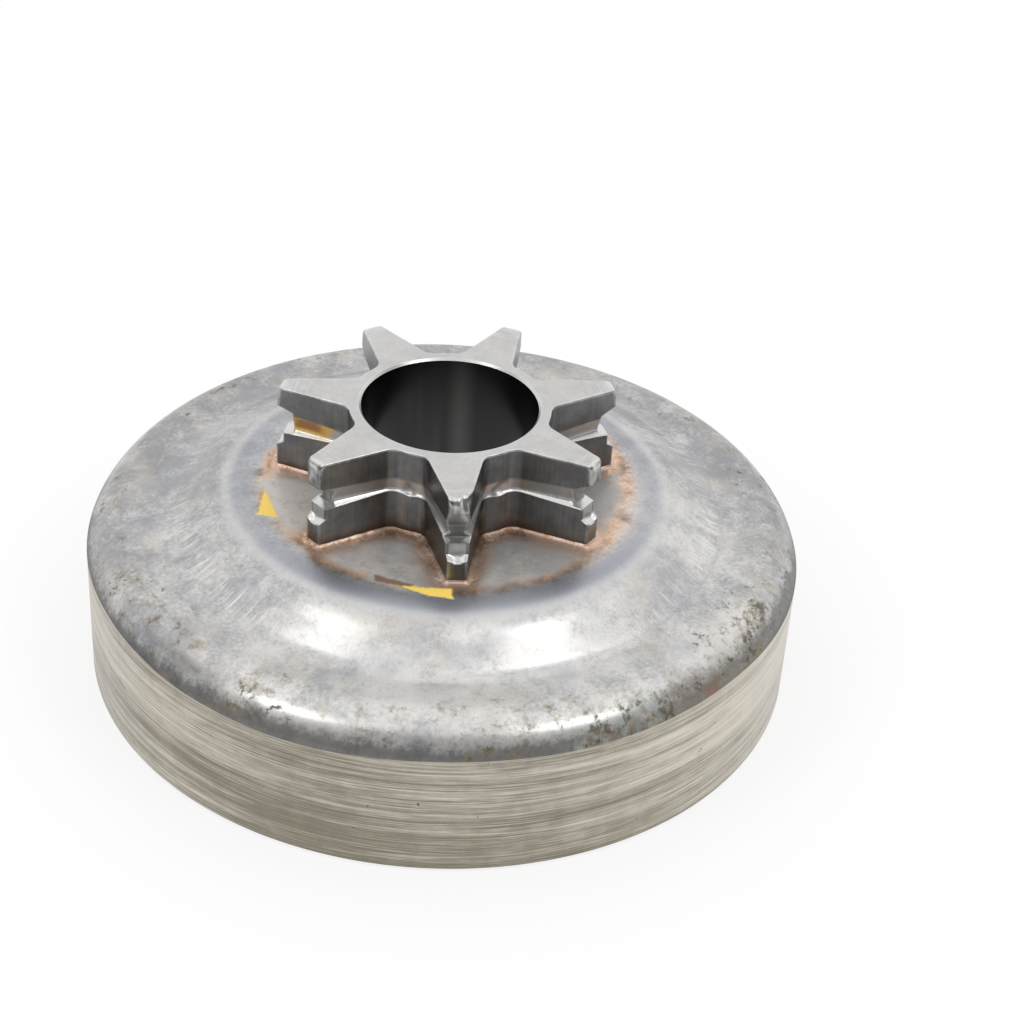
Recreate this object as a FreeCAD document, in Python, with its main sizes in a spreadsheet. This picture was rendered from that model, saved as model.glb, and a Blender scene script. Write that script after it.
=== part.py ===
"""Clutch drum of a chainsaw with a brazed-on spur sprocket, as a parametric document.

A drawn steel cup stands on its open rim, with its axis on Z and the origin at the rim's centre.
A spur sprocket sits on the raised boss of the cup, its hub passes through the cup's web, and a
copper braze fillet runs round the foot of the teeth. The teeth are worn: the chain's side straps
have cut back the tips, and its drive links have grooved the flanks and pitted the roots. Lengths
are in millimetres.
"""

import FreeCAD, Part
import os

import Sketcher

# Driving dimensions: alias, value, what it measures
SIZES = [
    ("drum_diameter", 65.5, "outside of the turned band"),
    ("drum_wall", 2.5, "side wall of the cup"),
    ("skin_proud", 0.15, "drawn skin outside the turned band, on each side"),
    ("web_thickness", 2.5, "sheet across the top of the cup"),
    ("shoulder_height", 15.0, "rim to the flat ring on top"),
    ("shoulder_radius", 4.0, "outer corner of the cup"),
    ("inner_corner", 1.2, "bevel in the inner corner of the cup"),
    ("boss_rise", 2.65, "raised middle above the flat ring"),
    ("boss_top_diameter", 41.0, "where the boss starts to fall"),
    ("boss_foot_diameter", 51.0, "where the boss meets the flat ring"),
    ("boss_top_blend", 5.0, "rounding at the top of the boss"),
    ("boss_foot_blend", 4.0, "rounding at the foot of the boss"),
    ("rim_chamfer", 0.4, "edges of the open rim"),
    ("tooth_count", 7, "teeth of the sprocket"),
    ("tip_diameter", 31.5, "across the unworn tips"),
    ("root_diameter", 18.3, "across the tooth gaps"),
    ("tip_width", 1.68, "width of a tip"),
    ("flank_angle", 13.5, "lean of a flank from the tooth's middle line, degrees"),
    ("tooth_height", 8.4, "boss face to the sprocket's top"),
    ("root_blend", 1.4, "rounding between a flank and the root"),
    ("bore_diameter", 16.0, "seat of the needle bearing"),
    ("bore_chamfer", 0.35, "edges of the bore"),
    ("hub_diameter", 18.0, "hub in the web's hole"),
    ("hub_proud", 0.6, "hub past the inside of the web"),
    ("chain_level", 4.8, "boss face to the middle plane of the chain"),
    ("lower_land", 2.3, "boss face to the end of the unworn lower land"),
    ("strap_wear", 0.65, "depth of the lower side straps' wear at a tip"),
    ("strap_wear_bevel", 0.4, "height of the slope up to the lower land"),
    ("tip_wear", 1.6, "depth of the drive links' wear at a tip"),
    ("tip_wear_floor", 0.8, "height of that wear's floor"),
    ("upper_land", 6.6, "boss face to the start of the upper land"),
    ("upper_land_wear", 0.1, "upper land inside the unworn tips"),
    ("link_wear", 0.6, "depth of the drive links' groove in a flank, at the tip"),
    ("link_wear_ledge", 0.6, "height of the slope below that groove's floor"),
    ("link_wear_floor", 0.1, "height of that groove's floor"),
    ("link_wear_slope", 1.5, "height of the slope above that groove's floor"),
    ("link_wear_reach", 0.95, "share of a tooth's depth that the groove runs in from the tip"),
    ("link_wear_lean", 4.2, "groove running out towards the root, degrees"),
    ("root_wear", 0.25, "share of the root's wall that the drive links have worn away"),
    ("root_wear_width", 1.6, "width of that pit along the root"),
    ("braze_out", 1.2, "foot of the braze on the boss"),
    ("braze_up", 0.4, "height of the braze on the teeth"),
    ("braze_edge", 0.1, "thickness of the braze at its upper edge"),
]

# Room by which a cutting profile passes the surface that it cuts
CUT_ROOM = 1.0

# Expressions that several sub-parts share, so that they meet on the same faces
BAND_RADIUS = "Sizes.drum_diameter / 2"
INNER_RADIUS = f"({BAND_RADIUS} - Sizes.drum_wall)"
SKIN_RADIUS = f"({BAND_RADIUS} + Sizes.skin_proud)"
BOSS_FACE = "(Sizes.shoulder_height + Sizes.boss_rise)"
BOSS_TOP_RADIUS = "(Sizes.boss_top_diameter / 2)"
BOSS_FOOT_RADIUS = "(Sizes.boss_foot_diameter / 2)"
WEB_UNDERSIDE = f"({BOSS_FACE} - Sizes.web_thickness)"
HUB_RADIUS = "(Sizes.hub_diameter / 2)"
ROOT_RADIUS = "(Sizes.root_diameter / 2)"
WALL_MIDDLE = "((Sizes.bore_diameter + Sizes.root_diameter) / 4)"
TIP_RADIUS = "(Sizes.tip_diameter / 2)"
HUB_END = f"({WEB_UNDERSIDE} - Sizes.hub_proud)"
SPROCKET_TOP = f"({BOSS_FACE} + Sizes.tooth_height)"
CHAIN_PLANE = f"({BOSS_FACE} + Sizes.chain_level)"
# Heights on the chain's middle plane between which the drive links have worn the sprocket
LINK_WEAR_FOOT = "(-(Sizes.link_wear_ledge + Sizes.link_wear_floor + Sizes.link_wear_slope) / 2)"
LINK_WEAR_FLOOR = f"({LINK_WEAR_FOOT} + Sizes.link_wear_ledge)"
LINK_WEAR_ROOF = f"({LINK_WEAR_FLOOR} + Sizes.link_wear_floor)"
# Half the width of a tooth where its flanks, drawn on, would meet the axis
AXIS_HALF_WIDTH = f"(Sizes.tip_width / 2 + {TIP_RADIUS} * tan(Sizes.flank_angle * 1 deg))"

TOLERANCE = 1e-4

doc = FreeCAD.newDocument("clutch_drum")


def make_sheet():
    """The spreadsheet of driving dimensions, one row each."""
    sheet = doc.addObject("Spreadsheet::Sheet", "Sizes")
    for row, (alias, size, meaning) in enumerate(SIZES, start=1):
        sheet.set(f"A{row}", alias)
        sheet.set(f"B{row}", str(size))
        sheet.set(f"C{row}", meaning)
        sheet.setAlias(f"B{row}", alias)
    doc.recompute()
    return sheet


SHEET = make_sheet()


def value(expression):
    """The number that an expression on the sheet gives."""
    result = SHEET.evalExpression(str(expression))
    return float(getattr(result, "Value", result))


def make_body(label):
    body = doc.addObject("PartDesign::Body", label)
    body.Label = label
    return body


def origin_feature(body, role):
    return next(f for f in body.Origin.OriginFeatures if f.Role == role)


def attach(sketch, body, role):
    sketch.AttachmentSupport = (origin_feature(body, role), [""])
    sketch.MapMode = "FlatFace"


def pin_coordinate(sketch, edge, kind, expression, label):
    """Ties one coordinate of an edge's first point to an expression."""
    size = value(expression)
    if abs(size) < TOLERANCE:
        axis = -2 if kind == "DistanceX" else -1
        sketch.addConstraint(Sketcher.Constraint("PointOnObject", edge, 1, axis))
        return
    index = sketch.addConstraint(Sketcher.Constraint(kind, edge, 1, size))
    sketch.renameConstraint(index, label)
    sketch.setExpression(f"Constraints.{label}", expression)


def outline(body, name, role, corners):
    """A closed sketch of straight edges, each corner a pair of expressions."""
    sketch = body.newObject("Sketcher::SketchObject", name)
    attach(sketch, body, role)
    points = [FreeCAD.Vector(value(x), value(y), 0) for x, y in corners]
    following = points[1:] + points[:1]
    for start, end in zip(points, following):
        sketch.addGeometry(Part.LineSegment(start, end), False)
    for edge in range(len(points)):
        after = (edge + 1) % len(points)
        sketch.addConstraint(Sketcher.Constraint("Coincident", edge, 2, after, 1))
    for edge, (x, y) in enumerate(corners):
        pin_coordinate(sketch, edge, "DistanceX", x, f"x{edge}")
        pin_coordinate(sketch, edge, "DistanceY", y, f"y{edge}")
    doc.recompute()
    return sketch


def spin(body, kind, name, sketch):
    """A full turn of a sketch about the body's axis, adding or cutting."""
    feature = body.newObject(f"PartDesign::{kind}", name)
    feature.Profile = (sketch, [""])
    feature.ReferenceAxis = (sketch, ["V_Axis"])
    feature.Angle = 360
    doc.recompute()
    return feature


def around(body, name, originals):
    """One copy of the original features for each tooth."""
    pattern = body.newObject("PartDesign::PolarPattern", name)
    pattern.Originals = originals
    pattern.Axis = (origin_feature(body, "Z_Axis"), [""])
    pattern.Angle = 360
    pattern.setExpression("Occurrences", "Sizes.tooth_count")
    body.Tip = pattern
    doc.recompute()
    return pattern


def ring_edge(feature, radius, height):
    """Name of the round edge of that radius and height on the axis."""
    for number, edge in enumerate(feature.Shape.Edges, start=1):
        curve = edge.Curve
        if not isinstance(curve, Part.Circle):
            continue
        if abs(curve.Radius - radius) < TOLERANCE and abs(curve.Center.z - height) < TOLERANCE:
            return f"Edge{number}"
    raise ValueError(f"no round edge of radius {radius} at height {height}")


def round_off(body, kind, name, edges, size):
    """A Fillet or Chamfer on named edges of the body's last feature."""
    base = body.Tip
    feature = body.newObject(f"PartDesign::{kind}", name)
    feature.Base = (base, edges)
    feature.setExpression("Radius" if kind == "Fillet" else "Size", size)
    doc.recompute()
    return feature


def make_drum():
    """The cup: spun from a profile of sheet thickness, rounded, then turned on the outside."""
    body = make_body("clutch_drum")
    run = f"({BOSS_FOOT_RADIUS} - {BOSS_TOP_RADIUS})"
    inset = f"(Sizes.web_thickness * tan(atan(Sizes.boss_rise / {run}) / 2))"
    inner_top_radius = f"({BOSS_TOP_RADIUS} - {inset})"
    inner_foot_radius = f"({BOSS_FOOT_RADIUS} - {inset})"
    ring_underside = "(Sizes.shoulder_height - Sizes.web_thickness)"
    profile = outline(body, "cup_profile", "XZ_Plane", [
        (INNER_RADIUS, 0),
        (SKIN_RADIUS, 0),
        (SKIN_RADIUS, "Sizes.shoulder_height"),
        (BOSS_FOOT_RADIUS, "Sizes.shoulder_height"),
        (BOSS_TOP_RADIUS, BOSS_FACE),
        (HUB_RADIUS, BOSS_FACE),
        (HUB_RADIUS, WEB_UNDERSIDE),
        (inner_top_radius, WEB_UNDERSIDE),
        (inner_foot_radius, ring_underside),
        (INNER_RADIUS, ring_underside),
    ])
    spin(body, "Revolution", "drawn_cup", profile)

    roundings = [
        ("Fillet", "shoulder", SKIN_RADIUS, "Sizes.shoulder_height", "Sizes.shoulder_radius"),
        ("Fillet", "boss_foot", BOSS_FOOT_RADIUS, "Sizes.shoulder_height", "Sizes.boss_foot_blend"),
        ("Fillet", "boss_top", BOSS_TOP_RADIUS, BOSS_FACE, "Sizes.boss_top_blend"),
        ("Chamfer", "inner_corner", INNER_RADIUS, ring_underside, "Sizes.inner_corner"),
    ]
    for kind, name, radius, height, size in roundings:
        edge = ring_edge(body.Tip, value(radius), value(height))
        round_off(body, kind, name, [edge], size)

    turning = outline(body, "turning_cut", "XZ_Plane", [
        (BAND_RADIUS, 0),
        (f"{SKIN_RADIUS} + {CUT_ROOM}", 0),
        (f"{SKIN_RADIUS} + {CUT_ROOM}", "Sizes.shoulder_height"),
        (BAND_RADIUS, "Sizes.shoulder_height"),
    ])
    spin(body, "Groove", "turned_band", turning)

    rim_edges = [ring_edge(body.Tip, value(radius), 0) for radius in (BAND_RADIUS, INNER_RADIUS)]
    round_off(body, "Chamfer", "rim_edges", rim_edges, "Sizes.rim_chamfer")
    return body


def tooth_outline(body, name, height, grow):
    """Sketch of one tooth along +X at a height, its sides moved out by grow, rooted in the wall."""
    tip = f"({TIP_RADIUS} + {grow})"
    lean = "tan(Sizes.flank_angle * 1 deg)"
    swell = f"({grow} / cos(Sizes.flank_angle * 1 deg))"
    tip_half = f"({AXIS_HALF_WIDTH} + {swell} - {tip} * {lean})"
    heel_full = f"({AXIS_HALF_WIDTH} + {swell})"
    reach = f"sqrt({WALL_MIDDLE}^2 * (1 + {lean}^2) - {heel_full}^2)"
    heel = f"(({heel_full} * {lean} + {reach}) / (1 + {lean}^2))"
    heel_half = f"({heel_full} - {heel} * {lean})"
    sketch = outline(body, name, "XY_Plane", [
        (tip, f"-{tip_half}"),
        (tip, tip_half),
        (heel, heel_half),
        (heel, f"-{heel_half}"),
    ])
    sketch.setExpression("AttachmentOffset.Base.z", height)
    doc.recompute()
    return sketch


def root_edges(feature):
    """Names of the upright edges where the flanks meet the root."""
    names = []
    for number, edge in enumerate(feature.Shape.Edges, start=1):
        first, last = edge.Vertexes[0].Point, edge.Vertexes[-1].Point
        upright = abs(abs(first.z - last.z) - value("Sizes.tooth_height")) < TOLERANCE
        on_root = abs(FreeCAD.Vector(first.x, first.y, 0).Length - value(ROOT_RADIUS)) < TOLERANCE
        if upright and on_root and isinstance(edge.Curve, Part.Line):
            names.append(f"Edge{number}")
    return names


def pocket(body, name, sketch):
    """A cut from a sketch, its length set by the caller."""
    feature = body.newObject("PartDesign::Pocket", name)
    feature.Profile = (sketch, [""])
    return feature


def link_wear_section(depth, surface, side):
    """Corners of the drive links' wear: a ledge below, a long slope above; side is where the cut opens."""
    widening = f"(1 + {CUT_ROOM} / ({depth}))"
    foot = f"({LINK_WEAR_FLOOR} - Sizes.link_wear_ledge * {widening})"
    head = f"({LINK_WEAR_ROOF} + Sizes.link_wear_slope * {widening})"
    floor = f"({surface} - {side} * {depth})"
    clear = f"({surface} + {side} * {CUT_ROOM})"
    return [(floor, LINK_WEAR_FLOOR), (floor, LINK_WEAR_ROOF), (clear, head), (clear, foot)]


def pit_root(body):
    """The pit that the drive links' ends have worn in the root of the first gap."""
    depth = "(Sizes.root_wear * (Sizes.root_diameter - Sizes.bore_diameter) / 2)"
    sketch = outline(body, "root_wear_profile", "XZ_Plane", link_wear_section(depth, ROOT_RADIUS, 1))
    sketch.AttachmentOffset = FreeCAD.Placement(
        FreeCAD.Vector(), FreeCAD.Rotation(FreeCAD.Vector(0, 1, 0), 1)
    )
    sketch.setExpression("AttachmentOffset.Rotation.Angle", "180 deg / Sizes.tooth_count")
    sketch.setExpression("AttachmentOffset.Base.y", CHAIN_PLANE)
    doc.recompute()
    pit = pocket(body, "root_wear", sketch)
    pit.Midplane = True
    pit.setExpression("Length", "Sizes.root_wear_width")
    doc.recompute()
    return pit


def groove_flank(body, name, side):
    """The drive links' groove along one flank of the first tooth; side is 1 or -1."""
    turn = "((Sizes.flank_angle + Sizes.link_wear_lean) * 1 deg)"
    sketch = outline(body, f"{name}_profile", "YZ_Plane", link_wear_section("Sizes.link_wear", "0", side))
    sketch.AttachmentOffset = FreeCAD.Placement(
        FreeCAD.Vector(), FreeCAD.Rotation(FreeCAD.Vector(0, 1, 0), -side)
    )
    sketch.setExpression("AttachmentOffset.Rotation.Angle", turn)
    sketch.setExpression(
        "AttachmentOffset.Base.x", f"{side} * (Sizes.tip_width / 2 - {CUT_ROOM} * sin({turn}))"
    )
    sketch.setExpression("AttachmentOffset.Base.y", CHAIN_PLANE)
    sketch.setExpression("AttachmentOffset.Base.z", f"{TIP_RADIUS} + {CUT_ROOM} * cos({turn})")
    doc.recompute()
    groove = pocket(body, name, sketch)
    groove.setExpression("Length", f"Sizes.link_wear_reach * ({TIP_RADIUS} - {ROOT_RADIUS}) + {CUT_ROOM}")
    doc.recompute()
    return groove


def wear_tips(body):
    """The chain's wear at the tips: one turned cut with a strap's step, a deep floor and a long slope."""
    strap_radius = f"({TIP_RADIUS} - Sizes.strap_wear)"
    floor_radius = f"({TIP_RADIUS} - Sizes.tip_wear)"
    upper_radius = f"({TIP_RADIUS} - Sizes.upper_land_wear)"
    clear_radius = f"({TIP_RADIUS} + {CUT_ROOM})"
    low = f"({BOSS_FACE} + Sizes.lower_land)"
    ledge = f"({CHAIN_PLANE} + {LINK_WEAR_FOOT})"
    high = f"({BOSS_FACE} + Sizes.upper_land)"
    profile = outline(body, "tip_wear_profile", "XZ_Plane", [
        (clear_radius, low),
        (TIP_RADIUS, low),
        (strap_radius, f"{low} + Sizes.strap_wear_bevel"),
        (strap_radius, ledge),
        (floor_radius, ledge),
        (floor_radius, f"{ledge} + Sizes.tip_wear_floor"),
        (upper_radius, high),
        (upper_radius, SPROCKET_TOP),
        (clear_radius, SPROCKET_TOP),
    ])
    spin(body, "Groove", "tip_wear", profile)


def cut_bore(body):
    """The round hole of the needle bearing's seat, right through."""
    sketch = body.newObject("Sketcher::SketchObject", "bore_profile")
    attach(sketch, body, "XY_Plane")
    radius = value("Sizes.bore_diameter / 2")
    sketch.addGeometry(Part.Circle(FreeCAD.Vector(), FreeCAD.Vector(0, 0, 1), radius), False)
    sketch.addConstraint(Sketcher.Constraint("Coincident", 0, 3, -1, 1))
    index = sketch.addConstraint(Sketcher.Constraint("Diameter", 0, 2 * radius))
    sketch.renameConstraint(index, "bore")
    sketch.setExpression("Constraints.bore", "Sizes.bore_diameter")
    doc.recompute()
    bore = pocket(body, "bore", sketch)
    bore.Type = "ThroughAll"
    bore.Reversed = True
    doc.recompute()
    return bore


def face_front(body):
    """Turns a body so that its first tooth points along -Y."""
    body.Placement = FreeCAD.Placement(
        FreeCAD.Vector(), FreeCAD.Rotation(FreeCAD.Vector(0, 0, 1), -90)
    )
    doc.recompute()


def make_sprocket():
    """The spur sprocket: hub and teeth, then the chain's wear and the bearing's bore."""
    body = make_body("spur_sprocket")
    hub = outline(body, "hub_profile", "XZ_Plane", [
        (0, HUB_END),
        (HUB_RADIUS, HUB_END),
        (HUB_RADIUS, BOSS_FACE),
        (ROOT_RADIUS, BOSS_FACE),
        (ROOT_RADIUS, SPROCKET_TOP),
        (0, SPROCKET_TOP),
    ])
    spin(body, "Revolution", "hub", hub)
    tooth = body.newObject("PartDesign::Pad", "tooth")
    tooth.Profile = (tooth_outline(body, "tooth_profile", BOSS_FACE, "0"), [""])
    tooth.setExpression("Length", "Sizes.tooth_height")
    doc.recompute()
    teeth = around(body, "teeth", [tooth])
    round_off(body, "Fillet", "root_rounding", root_edges(teeth), "Sizes.root_blend")
    wear_tips(body)
    link_wear = [
        groove_flank(body, "left_link_wear", 1),
        groove_flank(body, "right_link_wear", -1),
        pit_root(body),
    ]
    around(body, "link_wear", link_wear)
    bore = cut_bore(body)
    bore_radius = value("Sizes.bore_diameter / 2")
    bore_ends = [ring_edge(bore, bore_radius, value(height)) for height in (HUB_END, SPROCKET_TOP)]
    root_wall = "(Sizes.root_diameter - Sizes.bore_diameter) / 4"
    hub_wall = "(Sizes.hub_diameter - Sizes.bore_diameter) / 4"
    round_off(body, "Chamfer", "bore_edges", bore_ends, f"min(Sizes.bore_chamfer; {root_wall}; {hub_wall})")
    face_front(body)
    return body


def make_braze(sprocket):
    """The braze fillet: a sloping skirt round the foot of the teeth, less the sprocket itself."""
    blank = make_body("braze_blank")
    ring = outline(blank, "root_skirt_profile", "XZ_Plane", [
        (WALL_MIDDLE, BOSS_FACE),
        (f"{ROOT_RADIUS} + Sizes.braze_out", BOSS_FACE),
        (f"{ROOT_RADIUS} + Sizes.braze_edge", f"{BOSS_FACE} + Sizes.braze_up"),
        (WALL_MIDDLE, f"{BOSS_FACE} + Sizes.braze_up"),
    ])
    spin(blank, "Revolution", "root_skirt", ring)
    skirt = blank.newObject("PartDesign::Pad", "tooth_skirt")
    skirt.Profile = (tooth_outline(blank, "tooth_skirt_profile", BOSS_FACE, "Sizes.braze_out"), [""])
    skirt.setExpression("Length", "Sizes.braze_up")
    skirt.setExpression("TaperAngle", "-atan((Sizes.braze_out - Sizes.braze_edge) / Sizes.braze_up)")
    doc.recompute()
    around(blank, "skirts", [skirt])
    cut_bore(blank)
    face_front(blank)
    braze = doc.addObject("Part::Cut", "braze_fillet")
    braze.Label = "braze_fillet"
    braze.Base = blank
    braze.Tool = sprocket
    doc.recompute()
    return braze


def check(sub_parts):
    """Stops on a feature that failed or on a sub-part that isn't one sound solid."""
    for item in doc.Objects:
        if "Invalid" in item.State or "Error" in item.State:
            raise RuntimeError(f"{item.Label} did not build")
    for sub_part in sub_parts:
        shape = sub_part.Shape
        if shape.isNull() or not shape.isValid() or len(shape.Solids) != 1:
            raise RuntimeError(f"{sub_part.Label} is not one sound solid")


def main():
    sprocket = make_sprocket()
    sub_parts = [make_drum(), sprocket, make_braze(sprocket)]
    check(sub_parts)
    os.makedirs("parts", exist_ok=True)
    for sub_part in sub_parts:
        sub_part.Shape.exportStep(f"parts/{sub_part.Label}.step")
        print(sub_part.Label, round(sub_part.Shape.Volume, 1), "mm3")


main()
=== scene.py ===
"""Looks of a worn chainsaw clutch drum: its drum, spur sprocket, braze and the studio round them."""

import math

import bpy
from bpy.props import FloatProperty, FloatVectorProperty, IntProperty, PointerProperty
from mathutils import Matrix, Vector, noise


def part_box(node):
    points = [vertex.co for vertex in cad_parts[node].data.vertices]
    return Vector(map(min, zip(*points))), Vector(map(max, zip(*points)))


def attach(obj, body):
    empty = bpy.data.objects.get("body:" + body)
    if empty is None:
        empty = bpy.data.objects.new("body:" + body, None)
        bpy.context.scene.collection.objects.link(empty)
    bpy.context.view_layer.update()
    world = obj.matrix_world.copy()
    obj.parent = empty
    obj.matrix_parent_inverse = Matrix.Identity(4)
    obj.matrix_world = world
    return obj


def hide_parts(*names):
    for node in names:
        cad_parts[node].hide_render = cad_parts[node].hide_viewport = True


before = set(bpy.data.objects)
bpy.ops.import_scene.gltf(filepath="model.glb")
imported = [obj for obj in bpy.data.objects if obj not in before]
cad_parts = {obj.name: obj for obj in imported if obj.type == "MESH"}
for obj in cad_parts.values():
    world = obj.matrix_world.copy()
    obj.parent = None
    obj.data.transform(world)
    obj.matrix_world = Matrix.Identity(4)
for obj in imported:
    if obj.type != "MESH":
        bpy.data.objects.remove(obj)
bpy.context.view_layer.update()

bl_info = {
    "name": "Worn clutch drum",
    "version": (1, 0, 0),
    "blender": (4, 5, 0),
    "location": "3D View > Sidebar > Clutch drum",
    "description": "Builds the drum, the spur sprocket, the braze and the studio of a worn clutch drum",
    "category": "Object",
}

MM = 0.001
DRUM_LOW, DRUM_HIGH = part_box("clutch_drum")
SPROCKET_LOW, SPROCKET_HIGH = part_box("spur_sprocket")
BRAZE_LOW, BRAZE_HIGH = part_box("braze_fillet")


def length(label, meaning, default):
    """A size in metres that a user can change."""
    return FloatProperty(
        name=label, description=meaning, default=default, min=0.0, precision=5, unit="LENGTH"
    )


def portion(label, meaning, default):
    """A part of 1 that a user can change."""
    return FloatProperty(
        name=label, description=meaning, default=default, min=0.0, max=1.0, subtype="FACTOR"
    )


def angle(label, meaning, degrees):
    """An angle that a user can change."""
    return FloatProperty(name=label, description=meaning, default=math.radians(degrees), unit="ROTATION")


def colour(label, meaning, default):
    """A linear colour that a user can change."""
    return FloatVectorProperty(
        name=label, description=meaning, default=default, size=3, min=0.0, max=1.0, subtype="COLOR"
    )


class DrumSizes(bpy.types.PropertyGroup):
    """Sizes of the drawn cup."""

    band_radius: length("Band radius", "Outside of the turned band", DRUM_HIGH[0])
    wall: length("Wall", "Side wall of the cup", 2.5 * MM)
    band_height: length("Band height", "Rim to the upper edge of the turned band", 12.1 * MM)
    web: length("Web", "Sheet across the top", 2.5 * MM)
    shoulder_height: length("Shoulder height", "Rim to the flat ring", 15.0 * MM)
    shoulder_radius: length("Shoulder radius", "Outer corner", 4.0 * MM)
    boss_face: length("Boss face", "Rim to the boss", DRUM_HIGH[2])
    boss_top_radius: length("Boss top radius", "Where the boss starts to fall", 20.5 * MM)
    boss_foot_radius: length("Boss foot radius", "Where the boss meets the flat ring", 25.5 * MM)
    boss_top_blend: length("Boss top blend", "Rounding at the boss's top", 9.0 * MM)
    boss_foot_blend: length("Boss foot blend", "Rounding at the boss's foot", 4.0 * MM)
    hole_radius: length("Hole radius", "Hole for the sprocket's hub", 9.0 * MM)
    inner_corner: length("Inner corner", "Bevel inside the cup", 1.2 * MM)
    rim_chamfer: length("Rim chamfer", "Edges of the open rim", 0.4 * MM)
    unevenness: length("Unevenness", "Depth of the hollows left by pressing", 0.03 * MM)
    segments: IntProperty(name="Segments", description="Steps round the drum", default=400, min=48)


class SprocketSizes(bpy.types.PropertyGroup):
    """Sizes of the spur sprocket and of its wear."""

    teeth: IntProperty(name="Teeth", description="Number of teeth", default=7, min=3)
    tip_radius: length("Tip radius", "Unworn tips", -SPROCKET_LOW[1])
    root_radius: length("Root radius", "Floor of the tooth gaps", 9.15 * MM)
    tip_width: length("Tip width", "Width of a tip", 1.68 * MM)
    flank_angle: angle("Flank angle", "Lean of a flank from the tooth's middle line", 13.5)
    root_blend: length("Root blend", "Rounding between flank and root", 1.4 * MM)
    foot: length("Foot", "Height of the boss under the teeth", DRUM_HIGH[2])
    top: length("Top", "Height of the sprocket's top face", SPROCKET_HIGH[2])
    hub_end: length("Hub end", "Height of the hub's lower end", SPROCKET_LOW[2])
    hub_radius: length("Hub radius", "Hub in the drum's hole", 9.0 * MM)
    bore_radius: length("Bore radius", "Ground bore through the hub", 8.0 * MM)
    bore_chamfer: length("Bore chamfer", "Edges of the bore", 0.2 * MM)
    chain_level: length("Chain level", "Boss to the chain's middle plane", 4.8 * MM)
    lower_land: length("Lower land", "Boss to the end of the unworn lower land", 2.3 * MM)
    strap_wear: length("Strap wear", "Depth of the lower side straps' wear at a tip", 0.65 * MM)
    strap_wear_bevel: length("Strap wear bevel", "Slope up to the lower land", 0.4 * MM)
    tip_wear: length("Tip wear", "Depth of the drive links' wear at a tip", 1.6 * MM)
    tip_wear_floor: length("Tip wear floor", "Height of that wear's floor", 0.8 * MM)
    upper_land: length("Upper land", "Boss to the start of the upper land", 6.6 * MM)
    upper_land_wear: length("Upper land wear", "Upper land inside the unworn tips", 0.1 * MM)
    link_wear: length("Link wear", "Depth of the drive links' groove in a flank, at the tip", 0.6 * MM)
    link_wear_ledge: length("Link wear ledge", "Slope below that groove's floor", 0.6 * MM)
    link_wear_floor: length("Link wear floor", "Height of that groove's floor", 0.1 * MM)
    link_wear_slope: length("Link wear slope", "Slope above that groove's floor", 1.5 * MM)
    link_wear_length: length("Link wear length", "Length of the groove from the tip", 6.27 * MM)
    link_wear_lean: angle("Link wear lean", "Groove running out towards the root", 3.6)
    root_wear: length("Root wear", "Depth of the pit in a root", 0.4 * MM)
    root_wear_width: length("Root wear width", "Width of that pit", 1.6 * MM)
    edge_round: length("Edge round", "Rounding of the sharp edges", 0.13 * MM)


class BrazeSizes(bpy.types.PropertyGroup):
    """Sizes of the braze fillet."""

    out: length("Out", "Foot of the braze on the boss", 1.2 * MM)
    up: length("Up", "Height of the braze on the teeth", BRAZE_HIGH[2] - BRAZE_LOW[2])
    unevenness: portion("Unevenness", "How much the fillet swells and thins", 0.3)


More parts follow.
